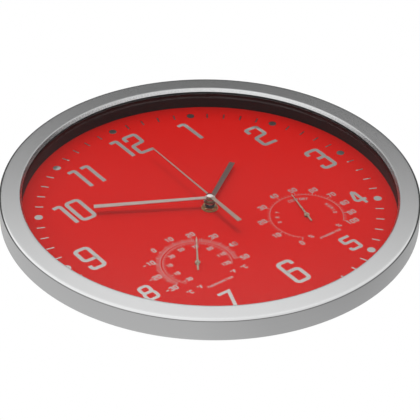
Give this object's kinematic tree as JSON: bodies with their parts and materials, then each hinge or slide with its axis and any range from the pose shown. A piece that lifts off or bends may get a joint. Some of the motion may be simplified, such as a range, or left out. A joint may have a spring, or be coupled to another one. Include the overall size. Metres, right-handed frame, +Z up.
{
  "type": "wall clock",
  "caption": "Round wall clock with a satin metal bezel, a recessed red dial under flat glass, bar hands, a thermometer dial and a hygrometer dial, and a quartz movement.",
  "frame": {"origin": "on the hands' axis, in the plane of the wall that the clock hangs on", "axes": "+Z up, towards 12 o'clock; +Y into the wall, so the face looks along -Y; +X to the right seen from the front"},
  "size_m": [0.35, 0.043, 0.35],
  "materials": {
    "satin_aluminium": "satin, fine circular brushing, clear anodised",
    "black_rubber": "matt moulded",
    "clear_glass": "polished flat",
    "black_plastic": "fine satin",
    "red_dial": "smooth satin lacquer with printed silver figures",
    "housing_plastic": "fine spark texture",
    "zinc_steel": "bright zinc plated",
    "movement_plastic": "fine moulded texture",
    "brass": "turned and tumbled",
    "white_plastic": "moulded acetal",
    "board_green": "solder resist",
    "bright_steel": "bright nickel",
    "core_steel": "blanked sheet",
    "copper_wire": "enamelled winding",
    "battery_jacket": "printed jacket",
    "hand_silver": "satin silver, lacquered",
    "chrome": "polished",
    "bimetal": "rolled strip",
    "needle_brass": "pale gilt"
  },
  "bodies": {
    "root": {"bezel": "satin_aluminium", "glass_gasket": "black_rubber", "front_glass": "clear_glass", "inner_ring": "black_plastic", "dial": "red_dial", "back_housing": "housing_plastic", "housing_screws": "zinc_steel", "hanger_plate": "zinc_steel", "hanger_rivets": "zinc_steel", "wall_pads": "black_rubber", "movement_case": "movement_plastic", "movement_cover": "movement_plastic", "rubber_washer": "black_rubber", "brass_washer": "brass", "hex_nut": "brass", "wheel_bridge": "white_plastic", "bridge_screws": "zinc_steel", "circuit_board": "board_green", "clock_chip": "black_plastic", "quartz_crystal": "bright_steel", "stator": "core_steel", "coil_core": "core_steel", "core_screws": "zinc_steel", "coil_bobbin": "white_plastic", "coil_winding": "copper_wire", "battery": "battery_jacket", "positive_contact": "bright_steel", "negative_contact": "bright_steel", "thermometer_cup": "bright_steel", "thermometer_bush": "brass", "thermometer_coil": "bimetal", "hygrometer_cup": "bright_steel", "hygrometer_bush": "brass", "hygrometer_coil": "bimetal", "instrument_screws": "zinc_steel"},
    "second": {"seconds_wheel": "white_plastic", "second_hand": "hand_silver", "second_hand_tube": "brass", "centre_cap": "chrome"},
    "rotor": {"rotor_pinion": "white_plastic", "rotor_magnet": "core_steel"},
    "intermediate": {"intermediate_wheel": "white_plastic"},
    "third": {"third_wheel": "white_plastic"},
    "centre": {"centre_wheel": "white_plastic"},
    "minute": {"minute_arbor": "white_plastic", "minute_hand": "hand_silver", "minute_hand_collet": "brass"},
    "motion": {"motion_wheel": "white_plastic"},
    "hour": {"hour_wheel": "white_plastic", "hour_hand": "hand_silver", "hour_hand_collet": "brass"},
    "knob": {"setting_knob": "black_plastic"},
    "thermometer_needle": {"thermometer_spindle": "bright_steel", "thermometer_pointer": "needle_brass"},
    "hygrometer_needle": {"hygrometer_spindle": "bright_steel", "hygrometer_pointer": "needle_brass"}
  },
  "joints": [
    {"name": "second_hand_turn", "type": "hinge", "parent": "root", "child": "second", "pos_m": [0, -0.023, 0], "axis": [0, 1, 0], "continuous": true},
    {"name": "rotor_turn", "type": "hinge", "parent": "root", "child": "rotor", "pos_m": [-0.00983, -0.013, 0.01347], "axis": [0, 1, 0], "continuous": true},
    {"name": "intermediate_turn", "type": "hinge", "parent": "root", "child": "intermediate", "pos_m": [-0.00359, -0.011, 0.00987], "axis": [0, 1, 0], "continuous": true},
    {"name": "third_turn", "type": "hinge", "parent": "root", "child": "third", "pos_m": [0.00781, -0.016, 0.00656], "axis": [0, 1, 0], "continuous": true},
    {"name": "centre_turn", "type": "hinge", "parent": "root", "child": "centre", "pos_m": [0, -0.016, 0], "axis": [0, 1, 0], "continuous": true},
    {"name": "minute_hand_turn", "type": "hinge", "parent": "root", "child": "minute", "pos_m": [0, -0.023, 0], "axis": [0, 1, 0], "continuous": true},
    {"name": "motion_turn", "type": "hinge", "parent": "root", "child": "motion", "pos_m": [-0.00789, -0.0185, -0.00287], "axis": [0, 1, 0], "continuous": true},
    {"name": "hour_hand_turn", "type": "hinge", "parent": "root", "child": "hour", "pos_m": [0, -0.023, 0], "axis": [0, 1, 0], "continuous": true},
    {"name": "knob_turn", "type": "hinge", "parent": "root", "child": "knob", "pos_m": [-0.01629, -0.013, -0.00287], "axis": [0, 1, 0], "continuous": true},
    {"name": "thermometer_turn", "type": "hinge", "parent": "root", "child": "thermometer_needle", "pos_m": [-0.0546, -0.019, -0.0563], "axis": [0, 1, 0], "range_deg": [-146.8, 77.2], "deforming": ["thermometer_coil"]},
    {"name": "hygrometer_turn", "type": "hinge", "parent": "root", "child": "hygrometer_needle", "pos_m": [0.0588, -0.019, -0.0563], "axis": [0, 1, 0], "range_deg": [-149.7, 122.3], "deforming": ["hygrometer_coil"]}
  ],
  "couplings": [
    {"joint": "intermediate_turn", "follows": "second_hand_turn", "ratio": -6},
    {"joint": "rotor_turn", "follows": "second_hand_turn", "ratio": 30},
    {"joint": "third_turn", "follows": "second_hand_turn", "ratio": -0.13333},
    {"joint": "centre_turn", "follows": "second_hand_turn", "ratio": 0.016667},
    {"joint": "motion_turn", "follows": "minute_hand_turn", "ratio": -0.33333},
    {"joint": "hour_hand_turn", "follows": "minute_hand_turn", "ratio": 0.083333},
    {"joint": "knob_turn", "follows": "minute_hand_turn", "ratio": 1}
  ]
}
